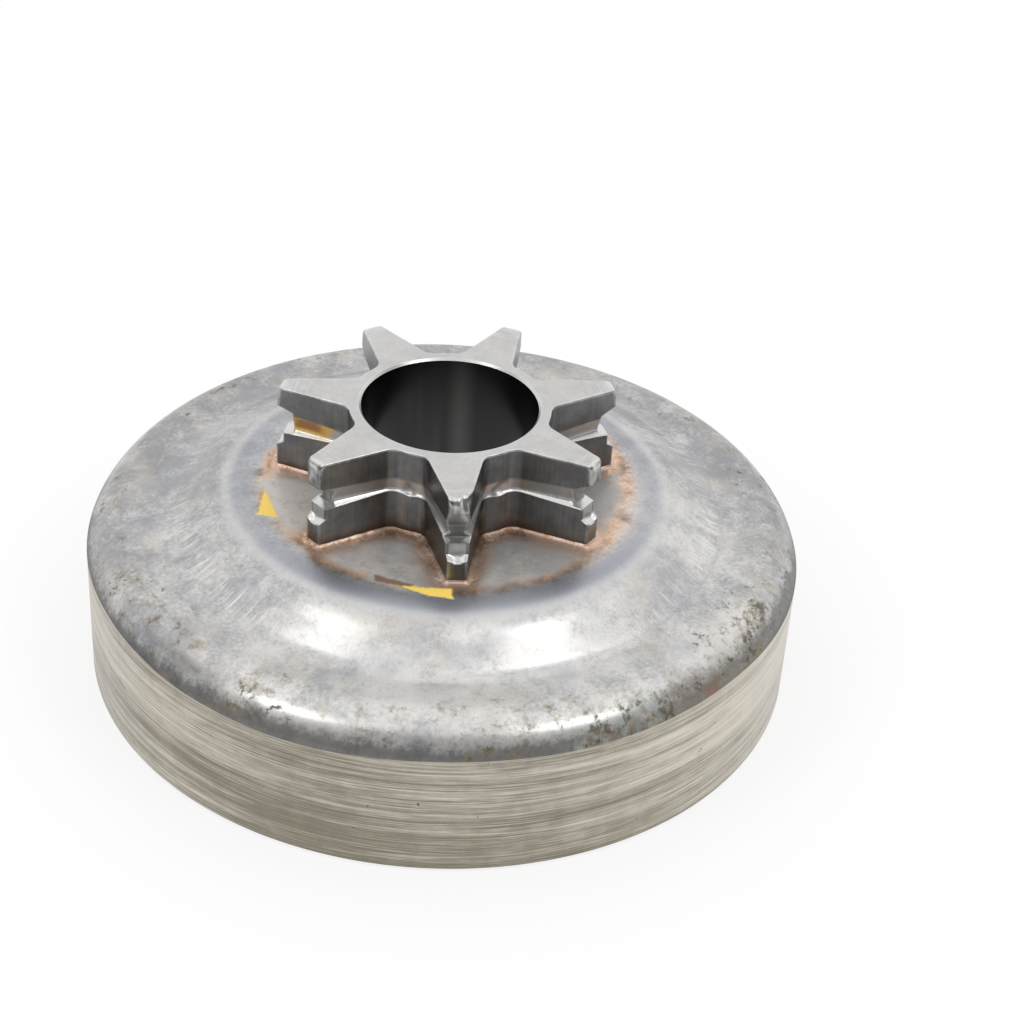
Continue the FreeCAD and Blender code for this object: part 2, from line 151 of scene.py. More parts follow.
class Finishes(bpy.types.PropertyGroup):
    """Colours of the finishes."""

    steel_dark: colour("Dark steel", "Stained patches of the drawn steel", (0.35, 0.352, 0.362))
    steel_light: colour("Light steel", "Clean patches of the drawn steel", (0.72, 0.71, 0.69))
    steel_warm: colour("Warm steel", "Yellowed patches of the drawn steel", (0.61, 0.565, 0.51))
    # Blued patches, and also the painted dark ring round the film and the painted shade in the boss's foot
    steel_blue_and_shade: colour("Blue steel", "Blued patches of the drawn steel", (0.35, 0.365, 0.42))
    # Frosted scuffs and flecks, and also a painted light ring on the boss
    steel_frost_and_sheen: colour("Frosted steel", "Scuffs and sparkles of the drawn steel", (0.86, 0.85, 0.83))
    band_dark: colour("Dark band", "Dark streaks of the turned band", (0.235, 0.21, 0.165))
    band_light: colour("Light band", "Light streaks of the turned band", (0.70, 0.655, 0.57))
    # Pits and dirt, and also the painted shade of the strip under the shoulder
    grime_and_shade: colour("Grime", "Burnt oil and pits", (0.048, 0.046, 0.042))
    ochre: colour("Ochre", "Yellow-brown stains on the shoulder", (0.25, 0.19, 0.09))
    red_stain: colour("Red stain", "Red stain under the shoulder", (0.36, 0.16, 0.15))
    salt: colour("Salt", "Pale blue-green stains on the shoulder", (0.55, 0.63, 0.64))
    # Milled streaks, and also the painted shade in the worn slots of the tips
    sprocket_dark: colour("Dark sprocket", "Dark streaks of the milled flanks", (0.13, 0.133, 0.138))
    sprocket_side: colour("Sprocket side", "Milled flanks", (0.34, 0.345, 0.35))
    sprocket_top_dark: colour("Dark sprocket top", "Dark rings of the top face", (0.46, 0.455, 0.445))
    sprocket_top: colour("Sprocket top", "Turned top face", (0.70, 0.692, 0.68))
    # Painted shade: the bore's colour is nearly black
    bore: colour("Bore", "Ground bore", (0.045, 0.046, 0.046))
    # Painted reflection down the bore
    bore_reflection_streak: colour("Light bore", "Soft streak down the bore", (0.12, 0.12, 0.118))
    # Polished metal, also used for the bright corners, which are partly a painted highlight
    polish: colour("Polish", "Metal that the chain has polished", (0.74, 0.735, 0.72))
    film: colour("Film", "Thin braze metal between the teeth", (0.40, 0.388, 0.38))
    film_light: colour("Light film", "Paler parts of that film", (0.60, 0.57, 0.535))
    copper: colour("Copper", "Braze metal", (0.64, 0.46, 0.36))
    copper_pale: colour("Pale copper", "Glints of the braze", (0.86, 0.72, 0.62))
    copper_brown: colour("Brown copper", "Stained braze and flux", (0.22, 0.12, 0.06))
    copper_orange: colour("Orange copper", "Bright edge of the braze", (0.74, 0.44, 0.25))
    rust: colour("Rust", "Dark rust in a groove", (0.30, 0.11, 0.008))
    rust_light: colour("Light rust", "Yellow rim of that rust", (0.80, 0.46, 0.03))
    paint: colour("Paint", "Yellow paint marks", (0.95, 0.67, 0.13))


class Studio(bpy.types.PropertyGroup):
    """Camera, lamps and floor."""

    azimuth: angle("Azimuth", "Camera round the drum", -6.513)
    elevation: angle("Elevation", "Camera above the horizon", 33.945)
    roll: angle("Roll", "Camera about its own axis", 3.743)
    distance: length("Distance", "Camera to the point it looks at", 204.1 * MM)
    aim: FloatVectorProperty(
        name="Aim", description="Point that the camera looks at", size=3,
        default=(6.114 * MM, -0.698 * MM, 14.819 * MM), subtype="TRANSLATION", unit="LENGTH"
    )
    lens: FloatProperty(
        name="Lens", description="Focal length on a 36 mm sensor", default=77.644, min=10.0, unit="CAMERA"
    )
    lamp_power: FloatProperty(
        name="Lamp power", description="Power of an overhead lamp", default=0.06, min=0.0, unit="POWER"
    )
    lamp_size: length("Lamp size", "Width of an overhead lamp", 0.08)
    lamp_distance: length("Lamp distance", "Overhead lamps from the rim's centre", 0.5)
    room_level: portion("Room level", "Light of the room on matt surfaces", 0.92)
    front_level: portion("Front level", "Light of the room low in front", 0.18)
    floor_white: portion("Floor white", "How far the floor shows as plain white", 0.75)
    floor_colour: colour("Floor", "Pale floor", (0.93, 0.93, 0.93))


# How each tooth differs from the sizes above, in millimetres, from the front tooth round by the left:
# end of the lower land, ledge, floor of the wear, start of the upper land, burr on that land
TOOTH_WEAR = (
    (-0.15, -0.05, 0.40, 0.40, 0.03),
    (0.00, 0.00, 0.90, -0.60, 0.06),
    (0.10, 0.05, 1.50, -0.05, 0.10),
    (0.00, 0.00, 1.20, 0.00, 0.10),
    (-0.10, 0.00, 1.30, 0.00, 0.10),
    (0.00, 0.00, 1.40, 0.10, 0.10),
    (0.00, 0.12, 1.00, -0.15, 0.10),
)
# Where the turned band's upper edge wanders: angle and reach in degrees, height in millimetres
BAND_EDGE_WAVES = ((-120.0, 20.0, -0.45), (-44.0, 16.0, 0.40), (-156.0, 14.0, 0.25), (60.0, 35.0, 0.2))
# Section of the braze, from the tooth down to the boss and back below: shares of its foot and of its height
BRAZE_SECTION = (
    (-0.04, 0.80), (0.02, 0.72), (0.09, 0.52), (0.20, 0.34), (0.36, 0.20),
    (0.56, 0.11), (0.80, 0.04), (1.02, -0.04), (1.00, -0.1), (-0.04, -0.1),
)
# Overhead lamps: direction from the rim's centre, share of the lamp power, share of the lamp size
LAMPS = {
    "boss_lamp_left": ((-0.366, 0.079, 0.927), 0.9, 1.0),
    "boss_lamp_right": ((0.318, 0.045, 0.947), 1.2, 1.0),
    "shoulder_lamp_left": ((-0.600, -0.390, 0.698), 5.0, 2.0),
    "shoulder_lamp_right": ((0.474, -0.429, 0.769), 4.0, 2.0),
}
# Marks on the drum from above, in millimetres: middle and reach of the round ones, corners of the others
SPARKLE = (13.8, -19.6, 3.6)
PIT_CLUSTER = (25.6, -15.8, 3.8)
RED_STAIN = (21.6, -24.8, 1.5)
SOOT_MARK = ((-6.9, -14.6), (-7.0, -15.3), (-4.0, -16.7), (-3.8, -16.0))
PAINT_MARKS = (
    ((-16.54, -1.39), (-17.19, -5.26), (-15.42, -5.73)),
    ((-5.2, -16.1), (-2.5, -17.5), (-0.45, -17.95), (-0.45, -16.6)),
)
# Rust in the groove of one tooth, in millimetres
RUST_MIDDLE = (-12.7, 1.6, 22.8)
RUST_REACH = (2.6, 1.6, 1.2)
# Edges sharper than these stay crisp
DRUM_CREASE = math.radians(11)
SPROCKET_CREASE = math.radians(38)
BRAZE_CREASE = math.radians(50)
WHITE = (1.0, 1.0, 1.0, 1.0)
SENSOR_WIDTH = 36.0
NEAREST_SEEN = 5 * MM
FLOOR_REACH = 3.0
FLOOR_GAP = 0.02 * MM
FAR_FROM_BRAZE = 9.0


class Wire:
    """A socket on which shader maths can be written as Python."""

    def __init__(self, finish, socket):
        self.finish = finish
        self.socket = socket

    def maths(self, operation, *others):
        values = dict(enumerate((self, *others)))
        return self.finish.node("ShaderNodeMath", {"operation": operation}, values)

    def __add__(self, other):
        return self.maths("ADD", other)

    __radd__ = __add__

    def __sub__(self, other):
        return self.maths("SUBTRACT", other)

    def __rsub__(self, other):
        return self.finish.node("ShaderNodeMath", {"operation": "SUBTRACT"}, {0: other, 1: self})

    def __mul__(self, other):
        return self.maths("MULTIPLY", other)

    __rmul__ = __mul__

    def __truediv__(self, other):
        return self.maths("DIVIDE", other)

    def __rtruediv__(self, other):
        return self.finish.node("ShaderNodeMath", {"operation": "DIVIDE"}, {0: other, 1: self})

    def __abs__(self):
        return self.maths("ABSOLUTE")

    def root(self):
        return self.maths("SQRT")

    def lower(self, other):
        return self.maths("MINIMUM", other)

    def higher(self, other):
        return self.maths("MAXIMUM", other)

    def ramp(self, low, high):
        """0 at low, 1 at high, smooth between; low may be the larger."""
        return self.finish.node(
            "ShaderNodeMapRange", {"interpolation_type": "SMOOTHSTEP"},
            {"Value": self, "From Min": low, "From Max": high}
        )

    def near(self, middle, reach):
        """1 at middle, 0 beyond reach on either side."""
        return abs(self - middle).ramp(reach, 0.0)


class Finish:
    """A node tree that is filled by expressions."""

    def __init__(self, tree):
        self.tree = tree
        self.tree.nodes.clear()

    @classmethod
    def material(cls, name):
        made = bpy.data.materials.new(name)
        made.use_nodes = True
        finish = cls(made.node_tree)
        finish.owner = made
        return finish

    def node(self, kind, settings=None, inputs=None, output=0):
        """Adds a node: settings first, then the values or links of its sockets."""
        made = self.tree.nodes.new(kind)
        for name, setting in (settings or {}).items():
            setattr(made, name, setting)
        for name, given in (inputs or {}).items():
            socket = made.inputs[name]
            if isinstance(given, Wire):
                self.tree.links.new(given.socket, socket)
            elif given is not None:
                socket.default_value = given
        return Wire(self, made.outputs[output]) if made.outputs else made

    def millimetres(self):
        """Position on the piece, in millimetres."""
        place = self.node("ShaderNodeTexCoord", output="Object")
        return self.node("ShaderNodeVectorMath", {"operation": "SCALE"}, {0: place, "Scale": 1000.0})

    def split(self, vector):
        made = self.node("ShaderNodeSeparateXYZ", inputs={0: vector}).socket.node
        return [Wire(self, socket) for socket in made.outputs]

    def join(self, x, y, z):
        return self.node("ShaderNodeCombineXYZ", inputs={0: x, 1: y, 2: z})

    def upward(self):
        """How far the surface faces up, from -1 to 1."""
        return self.split(self.node("ShaderNodeNewGeometry", output="Normal"))[2]

    def ray(self, kind):
        """1 for one kind of light ray, such as those to the camera."""
        return self.node("ShaderNodeLightPath", output=f"Is {kind} Ray")

    def painted(self, name):
        """A number stored at each point of the mesh."""
        return self.node("ShaderNodeAttribute", {"attribute_name": name}, output="Fac")

    def noise(self, vector, scale, seed, detail=3.0, rough=0.55, warp=0.0):
        """Noise from 0 to 1; scale is in cycles a millimetre."""
        return self.node(
            "ShaderNodeTexNoise", {"noise_dimensions": "4D"},
            {
                "Vector": vector, "W": seed, "Scale": scale,
                "Detail": detail, "Roughness": rough, "Distortion": warp,
            }
        )

    def mix(self, factor, first, second):
        """Colour from first to second."""
        def four(value):
            return value if isinstance(value, Wire) else (*value[:3], 1.0)
        return self.node(
            "ShaderNodeMix", {"data_type": "RGBA"}, {0: factor, 6: four(first), 7: four(second)}, output=2
        )

    def blend(self, factor, first, second):
        """Number from first to second."""
        return first + (second - first) * factor

    def surface(self, base, roughness, metallic, height=None, step=0.02, strength=0.5):
        """The shader: step is the height of the relief in millimetres."""
        normal = None
        if height is not None:
            normal = self.node(
                "ShaderNodeBump", inputs={"Strength": strength, "Distance": step * MM, "Height": height}
            )
        shader = self.node("ShaderNodeBsdfPrincipled", inputs={
            "Base Color": base, "Roughness": roughness, "Metallic": metallic, "Normal": normal,
        })
        self.node("ShaderNodeOutputMaterial", inputs={"Surface": shader})
        return self.owner


def arc(centre, radius, start, end, steps):
    """Points of an arc, angles in radians from the radial direction, both ends in."""
    turn = (end - start) / steps
    return [
        (centre[0] + radius * math.cos(start + turn * i), centre[1] + radius * math.sin(start + turn * i))
        for i in range(steps + 1)
    ]


def run(first, last, steps):
    """Points of a straight run, both ends in."""
    return [
        (first[0] + (last[0] - first[0]) * i / steps, first[1] + (last[1] - first[1]) * i / steps)
        for i in range(steps + 1)
    ]


def ringed_mesh(name, rows, paint=None):
    """A closed skin from rows of points; paint maps names to rows of numbers.

    Each row goes once round, clockwise from above. The rows go from the bore over the top and down.
    """
    count = len(rows[0])
    points = [point for row in rows for point in row]
    faces = []
    for i in range(len(rows)):
        this, after = i * count, ((i + 1) % len(rows)) * count
        for j in range(count):
            k = (j + 1) % count
            faces.append((this + j, this + k, after + k, after + j))
    mesh = bpy.data.meshes.new(name)
    mesh.from_pydata(points, [], faces)
    for key, values in (paint or {}).items():
        layer = mesh.attributes.new(key, "FLOAT", "POINT")
        layer.data.foreach_set("value", [value for row in values for value in row])
    mesh.update()
    mesh.validate()
    mesh.shade_smooth()
    return mesh


def add_piece(name, mesh, material, node):
    """Puts a piece in the scene in place of a CAD node."""
    piece = bpy.data.objects.new(name, mesh)
    bpy.context.scene.collection.objects.link(piece)
    mesh.materials.append(material)
    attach(piece, "root")
    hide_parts(node)


def wobble(x, y, z, scale, seed):
    """Steady noise from -1 to 1; scale is in cycles a millimetre."""
    return noise.noise(Vector((x / MM * scale, y / MM * scale, z / MM * scale + seed * 17.3)))


def clamp(value, low=0.0, high=1.0):
    return max(low, min(high, value))


def smooth(low, high, value):
    """0 below low, 1 above high, smooth between."""
    t = clamp((value - low) / (high - low))
    return t * t * (3 - 2 * t)


def follow(marks, value):
    """Straight steps between marks of (place, number)."""
    if value <= marks[0][0]:
        return marks[0][1]
    for (start, first), (end, last) in zip(marks, marks[1:]):
        if value <= end:
            return first + (last - first) * (value - start) / max(end - start, 1e-9)
    return marks[-1][1]


def band_edge(s, turn):
    """Height of the turned band's upper edge at one angle."""
    height = s.band_height
    for middle, reach, rise in BAND_EDGE_WAVES:
        away = math.degrees(turn) - middle
        away = (away + 180) % 360 - 180
        height += rise * MM * math.exp(-(away / reach) ** 2)
    return height + 0.05 * MM * wobble(25 * MM * math.cos(turn), 25 * MM * math.sin(turn), 0, 0.25, 2)


def drum_profile(s, turn):
    """Section of the cup at one angle, from the hole over the top, down the band and back inside."""
    lean = math.atan2(s.boss_face - s.shoulder_height, s.boss_foot_radius - s.boss_top_radius)
    top_cut = s.boss_top_blend * math.tan(lean / 2)
    foot_cut = s.boss_foot_blend * math.tan(lean / 2)
    level = s.shoulder_height - s.shoulder_radius
    edge = math.asin(clamp((band_edge(s, turn) - level) / s.shoulder_radius, 0.02, 0.9))
    shoulder = (s.band_radius - s.shoulder_radius * math.cos(edge), level)
    up = math.pi / 2
    top_centre = (s.boss_top_radius - top_cut, s.boss_face - s.boss_top_blend)
    foot_centre = (s.boss_foot_radius + foot_cut, s.shoulder_height + s.boss_foot_blend)
    points = run((s.hole_radius, s.boss_face), (s.boss_top_radius - top_cut, s.boss_face), 46)
    points += arc(top_centre, s.boss_top_blend, up, up - lean, 8)[1:]
    slope_end = arc(foot_centre, s.boss_foot_blend, -up - lean, -up, 8)
    points += run(points[-1], slope_end[0], 10)[1:]
    points += slope_end[1:]
    points += run(points[-1], (shoulder[0], s.shoulder_height), 8)[1:]
    points += arc(shoulder, s.shoulder_radius, up, edge, 26)[1:]
    points += run(points[-1], (s.band_radius, s.rim_chamfer), 24)[1:]
    points += run(points[-1], (s.band_radius - s.rim_chamfer, 0.0), 2)[1:]
    inside = s.band_radius - s.wall
    points += run((inside + s.rim_chamfer, 0.0), (inside, s.rim_chamfer), 2)
    under_ring = s.shoulder_height - s.web
    points += run((inside, s.rim_chamfer), (inside, under_ring - s.inner_corner), 12)[1:]
    points += run(points[-1], (inside - s.inner_corner, under_ring), 3)[1:]
    inset = s.web * math.tan(lean / 2)
    points += run(points[-1], (s.boss_foot_radius - inset, under_ring), 4)[1:]
    points += run(points[-1], (s.boss_top_radius - inset, s.boss_face - s.web), 5)[1:]
    points += run(points[-1], (s.hole_radius, s.boss_face - s.web), 10)[1:]
    points += run(points[-1], (s.hole_radius, s.boss_face), 3)[1:-1]
    return points


class Outline:
    """The star of the sprocket: its points at one height, tooth by tooth, with outward normals."""

    # Steps along a root, its blend, a flank, a tip corner and a tip
    ROOT, BLEND, FLANK, CORNER, TIP = 7, 10, 26, 4, 10

    # Lower land: how far its edge dips in the tip's middle, and the height and depth of its slight lean
    LAND_DIP = 0.22 * MM
    LAND_LEAN = (0.5 * MM, 0.03 * MM)
    # Lean of the strap's step, height of the step into the slot, and height of the burr above it
    STRAP_LEAN = 0.04 * MM
    SLOT_STEP = 0.1 * MM
    BURR_HEIGHT = 0.4 * MM
    # Rounding of a tip towards the top face: distance below it, distance in
    TOP_ROUNDING = ((0.55 * MM, 0.0), (0.25 * MM, 0.1 * MM), (0.08 * MM, 0.25 * MM), (0.0, 0.4 * MM))
    # Dents of a tip, and the deeper ones of its upper land
    DENTS = 0.03 * MM
    UPPER_DENTS = 0.05 * MM
    # Groove in a flank: how far its lips have closed in at the root, as shares of ledge and slope
    LEDGE_CLOSING = 0.60
    SLOPE_CLOSING = 0.22
    # Pit in a root: how far it spreads and how much lower it reaches, as shares of width and ledge
    PIT_SPREAD = 0.6
    PIT_DROP = 0.6
    # Depths at which a flank and a tip are fully polished
    FLANK_POLISH = 0.06 * MM
    TIP_POLISH = 0.15 * MM
    # Chip of the front tooth: where it starts and is whole in height, radius and width, and its depth
    CHIP_HEIGHT = (6.7 * MM, 8.2 * MM)
    CHIP_RADIUS = (13.8 * MM, 15.4 * MM)
    CHIP_WIDTH = (-0.1 * MM, 0.7 * MM)
    CHIP_DEPTH = (0.4 * MM, 0.3 * MM)

    def __init__(self, sizes):
        self.s = sizes
        self.lean = sizes.flank_angle
        self.pitch = 2 * math.pi / sizes.teeth
        self.half_at_axis = sizes.tip_width / 2 + sizes.tip_radius * math.tan(self.lean)
        self.normal = (math.sin(self.lean), math.cos(self.lean))
        self.along = (math.cos(self.lean), -math.sin(self.lean))
        reach = self.half_at_axis * math.cos(self.lean)
        side = math.sqrt((sizes.root_radius + sizes.root_blend) ** 2 - (reach + sizes.root_blend) ** 2)
        self.centre = self.at(reach + sizes.root_blend, side)
        self.flank_start = self.at(reach, side)
        self.blend_start = math.atan2(self.centre[1], self.centre[0])
        height = sizes.link_wear_ledge + sizes.link_wear_floor + sizes.link_wear_slope
        self.wear_foot = sizes.chain_level - height / 2
        self.wear_floor = self.wear_foot + sizes.link_wear_ledge
        self.wear_roof = self.wear_floor + sizes.link_wear_floor

    def at(self, out, side):
        """Point that lies out from the axis along a flank's normal, and along the flank by side."""
        return (out * self.normal[0] + side * self.along[0], out * self.normal[1] + side * self.along[1])

    def half_width(self, x):
        return self.half_at_axis - x * math.tan(self.lean)

    def tip_reach(self, level, tooth, across):
        """Radius of a worn tip at a height above the boss; across runs from -1 to 1 over the tip."""
        s = self.s
        land, ledge, floor, upper, burr = (d * MM for d in TOOTH_WEAR[tooth % len(TOOTH_WEAR)])
        low = s.lower_land + land - self.LAND_DIP * (1 - across * across)
        shelf = self.wear_foot + ledge
        top = s.tip_radius - s.upper_land_wear
        reach = follow((
            (low - self.LAND_LEAN[0], s.tip_radius - self.LAND_LEAN[1]),
            (low, s.tip_radius),
            (low + s.strap_wear_bevel, s.tip_radius - s.strap_wear),
            (shelf, s.tip_radius - s.strap_wear - self.STRAP_LEAN),
            (shelf + self.SLOT_STEP, s.tip_radius - s.tip_wear),
            (shelf + s.tip_wear_floor + floor, s.tip_radius - s.tip_wear),
            (s.upper_land + upper, top + burr),
            (s.upper_land + upper + self.BURR_HEIGHT, top + burr * 0.7),
            *((s.top - s.foot - below, top - inward) for below, inward in self.TOP_ROUNDING),
        ), level)
        lump = wobble(tooth * 7.1 * MM + across * 0.9 * MM, level, 0, 1.1, 5)
        worn = smooth(s.lower_land - 0.6 * MM, s.lower_land, level)
        dents = self.DENTS + self.UPPER_DENTS * self.on_upper_land(level)
        return min(reach + dents * lump * worn, s.tip_radius)

    def on_upper_land(self, level):
        """0 below the upper land, 1 on it."""
        start = self.s.upper_land
        return smooth(start - self.BURR_HEIGHT, start + self.BURR_HEIGHT, level)

    def hollow(self, level, depth, low, high):
        """Depth of a worn hollow at a height: a curved ledge above its low lip, a slope to its high lip."""
        if level < self.wear_floor:
            share = math.sin(math.pi / 2 * clamp((level - low) / (self.wear_floor - low)))
        else:
            share = (high - level) / (high - self.wear_roof)
        return depth * clamp(share)

    def link_depth(self, level, from_tip):
        """Depth of the drive links' groove on a flank, shallower and narrower towards the root."""
        s = self.s
        share = clamp(from_tip / s.link_wear_length)
        depth = s.link_wear - s.link_wear_length * share * math.tan(s.link_wear_lean)
        low = self.wear_foot + self.LEDGE_CLOSING * s.link_wear_ledge * share
        high = self.wear_roof + s.link_wear_slope * (1 - self.SLOPE_CLOSING * share)
        return self.hollow(level, depth, low, high)

    def root_depth(self, level, away):
        """Depth of the wear in a root, which swells to a soft pit in the gap's middle."""
        s = self.s
        swell = 1 - smooth(0.0, self.PIT_SPREAD * s.root_wear_width, away)
        start = s.link_wear - s.link_wear_length * math.tan(s.link_wear_lean)
        depth = start + (s.root_wear - start) * swell
        low = self.wear_floor - (1 - self.LEDGE_CLOSING) * s.link_wear_ledge * (1 + self.PIT_DROP * swell)
        high = self.wear_roof + (1 - self.SLOPE_CLOSING) * s.link_wear_slope
        share = self.hollow(level, 1.0, low, high)
        return depth * (share + (smooth(0.0, 1.0, share) - share) * swell)

    def half(self, level, tooth, side, worn):
        """One half of a tooth from its gap's middle to its tip: x, y, normal x, normal y, worn, edge."""
        s = self.s
        polish = 1.0 if level < self.wear_roof else 0.6
        samples = []
        arc_end = self.pitch / 2 - self.blend_start
        for i in range(self.ROOT):
            a = self.pitch / 2 - arc_end * i / self.ROOT
            away = s.root_radius * arc_end * i / self.ROOT
            cut = self.root_depth(level, away) if worn else 0.0
            r = s.root_radius - cut
            shine = self.shine(cut, polish)
            samples.append((r * math.cos(a), r * math.sin(a), math.cos(a), math.sin(a), shine, 0.0))
        start = self.blend_start + math.pi
        end = math.atan2(-self.normal[1], -self.normal[0]) + 2 * math.pi
        for i in range(self.BLEND):
            a = start + (end - start) * i / self.BLEND
            nx, ny = -math.cos(a), -math.sin(a)
            away = s.root_radius * arc_end + s.root_blend * abs(a - start)
            cut = self.root_depth(level, away) if worn else 0.0
            reach = s.root_blend + cut
            x, y = self.centre[0] - reach * nx, self.centre[1] - reach * ny
            samples.append((x, y, nx, ny, self.shine(cut, polish), 0.0))
        tip = self.tip_reach(level, tooth, side) if worn else s.tip_radius
        corner = s.edge_round * (1.7 + 1.5 * self.on_upper_land(level))
        for i in range(self.FLANK + 1):
            x = self.flank_start[0] + (tip - corner - self.flank_start[0]) * i / self.FLANK
            cut = self.link_depth(level, (s.tip_radius - x) / math.cos(self.lean)) if worn else 0.0
            y = self.half_width(x) - cut * self.normal[1]
            samples.append((x - cut * self.normal[0], y, *self.normal, self.shine(cut, polish), 0.0))
        last = samples[-1]
        tip_y = max(0.2 * MM, last[1] - corner)
        for i in range(1, self.CORNER + 1):
            t = i / self.CORNER
            a = (math.pi / 2 - self.lean) * (1 - t)
            bulge = math.sin(math.pi * t) * corner * 0.25
            x = min(tip, last[0] + (tip - last[0]) * t + bulge)
            y = last[1] + (tip_y - last[1]) * t + bulge
            samples.append((x, y, math.cos(a), math.sin(a), last[4], 1 - t * 0.5))
        return [(x, side * y, nx, side * ny, w, e) for x, y, nx, ny, w, e in samples]

    def shine(self, cut, polish):
        return clamp(cut / self.FLANK_POLISH) * polish

    def tooth(self, level, tooth, worn=True):
        """Samples of one tooth, from the gap on its +y side to the gap on its -y side."""
        s = self.s
        first = self.half(level, tooth, 1, worn)
        last = self.half(level, tooth, -1, worn)
        samples = list(first)
        top, low = first[-1][1], last[-1][1]
        for i in range(1, self.TIP):
            y = top + (low - top) * i / self.TIP
            x = self.tip_reach(level, tooth, 1 - 2 * i / self.TIP) if worn else s.tip_radius
            bright = clamp((s.tip_radius - x) / self.TIP_POLISH)
            bright *= smooth(s.lower_land - 0.3 * MM, s.lower_land, level)
            samples.append((x, y, 1.0, 0.0, bright, 0.0))
        samples += last[::-1][:-1]
        if worn and tooth == 0:
            samples = [self.chipped(level, sample) for sample in samples]
        return samples

    def chipped(self, level, sample):
        """Moves a sample in where the front tooth has lost its right upper corner."""
        x, y, nx, ny, w, e = sample
        loss = smooth(*self.CHIP_HEIGHT, level) * smooth(*self.CHIP_RADIUS, x) * smooth(*self.CHIP_WIDTH, y)
        x -= self.CHIP_DEPTH[0] * loss * max(nx, 0.5)
        y -= self.CHIP_DEPTH[1] * loss
        return (x, y, nx, ny, max(w, loss * 0.8), e)

    def ring(self, level, inset=0.0, worn=True):
        """All teeth at one height above the boss: points, and their worn and edge numbers."""
        points, worns, edges = [], [], []
        z = self.s.foot + level
        for tooth in range(self.s.teeth):
            turn = -math.pi / 2 - self.pitch * tooth
            c, n = math.cos(turn), math.sin(turn)
            for x, y, nx, ny, w, e in self.tooth(level, tooth, worn):
                x, y = x - inset * nx, y - inset * ny
                points.append((x * c - y * n, x * n + y * c, z))
                worns.append(w)
                edges.append(e)
        return points, worns, edges


def levels(sizes, outline):
    """Heights above the boss at which the sprocket's sides are cut, closest together at the worn ledges."""
    steps = (
        (0.0, 4),
        (sizes.lower_land - 0.5 * MM, 24),
        (outline.wear_foot - 0.1 * MM, 30),
        (outline.wear_floor, 2),
        (outline.wear_roof, 32),
        (sizes.upper_land + 0.8 * MM, 10),
    )
    ends = [start for start, count in steps[1:]]
    ends.append(sizes.top - sizes.foot - sizes.edge_round)
    marks = []
    for (start, count), end in zip(steps, ends):
        marks += [start + (end - start) * i / count for i in range(count)]
    return marks + ends[-1:]


def sprocket_mesh(sizes):
    """The sprocket as one skin: top face, rounded edge, sides, hub and bore."""
    outline = Outline(sizes)
    top = sizes.top - sizes.foot
    sides = levels(sizes, outline)
    rows, worns, edges = [], [], []

    def add(points, worn, edge):
        rows.append(points)
        worns.append(worn)
        edges.append(edge)

    rim, _, _ = outline.ring(top, sizes.edge_round)
    bare = [0.0] * len(rim)
    angles = [math.atan2(y, x) for x, y, z in rim]
    start = sizes.bore_radius + sizes.bore_chamfer

    def circle(radius, z):
        return [(radius * math.cos(a), radius * math.sin(a), z) for a in angles]

    inner = circle(start, sizes.top)
    for i in range(12):
        t = i / 12
        ring = [tuple(p[k] + (q[k] - p[k]) * t for k in range(3)) for p, q in zip(inner, rim)]
        add(ring, bare, [smooth(0.88, 1.0, t)] * len(rim))
    add(rim, bare, [1.0] * len(rim))
    for i in (1, 2, 3):
        a = math.pi / 2 * i / 3
        drop = sizes.edge_round * (1 - math.cos(a))
        inset = sizes.edge_round * (1 - math.sin(a))
        points, worn, _ = outline.ring(top - drop, inset)
        add(points, worn, [1.0] * len(points))
    for level in reversed(sides[:-1]):
        add(*outline.ring(level))
    add(circle(sizes.hub_radius, sizes.foot), bare, bare)
    add(circle(sizes.hub_radius, sizes.hub_end), bare, bare)
    add(circle(start, sizes.hub_end), bare, bare)
    low, high = sizes.hub_end + sizes.bore_chamfer, sizes.top - sizes.bore_chamfer
    for i in range(13):
        add(circle(sizes.bore_radius, low + (high - low) * i / 12), bare, bare)
    mesh = ringed_mesh("sprocket_skin", rows, {"worn": worns, "edge": edges})
    mesh.set_sharp_from_angle(angle=SPROCKET_CREASE)
    return mesh


def braze_mesh(sizes, braze):
    """The braze as one uneven fillet that follows the foot of the teeth."""
    outline = Outline(sizes)
    base, _, _ = outline.ring(0.0, worn=False)
    far, _, _ = outline.ring(0.0, -1.0 * MM, worn=False)
    tip_start, tip_end = sizes.tip_radius - 0.9 * MM, sizes.tip_radius - 0.1 * MM
    rows, reaches = [], []
    for out, up in BRAZE_SECTION:
        row, reach_row = [], []
        for p, q in zip(base, far):
            swell = 1 + braze.unevenness * (
                1.2 * wobble(p[0], p[1], 0, 0.3, 8) + 0.5 * wobble(p[0], p[1], 0, 1.0, 9)
            )
            at_tip = smooth(tip_start, tip_end, math.hypot(p[0], p[1]))
            reach = out * braze.out / (1.0 * MM) * clamp(swell, 0.55, 1.1) * (1 - 0.5 * at_tip)
            height = braze.up * up * clamp(swell, 0.4, 1.0)
            row.append((p[0] + (q[0] - p[0]) * reach, p[1] + (q[1] - p[1]) * reach, sizes.foot + height))
            reach_row.append(max(reach, 0.0))
        rows.append(row)
        reaches.append(reach_row)
    mesh = ringed_mesh("braze_skin", rows, {"reach": reaches})
    mesh.set_sharp_from_angle(angle=BRAZE_CREASE)
    return mesh


def star_distance(outline):
    """A function that gives the distance from a point on the boss to the foot of the teeth."""
    s = outline.s

    def distance(x, y):
        radius, turn = math.hypot(x, y), math.atan2(y, x) + math.pi / 2
        turn = abs((turn + outline.pitch / 2) % outline.pitch - outline.pitch / 2)
        u, v = radius * math.cos(turn), radius * math.sin(turn)
        to_flank = (v - outline.half_width(u)) * math.cos(outline.lean)
        beyond = u - s.tip_radius
        if beyond > 0:
            to_tooth = math.hypot(beyond, max(0.0, v - s.tip_width / 2))
        else:
            to_tooth = to_flank
        return min(to_tooth, radius - s.root_radius)

    return distance


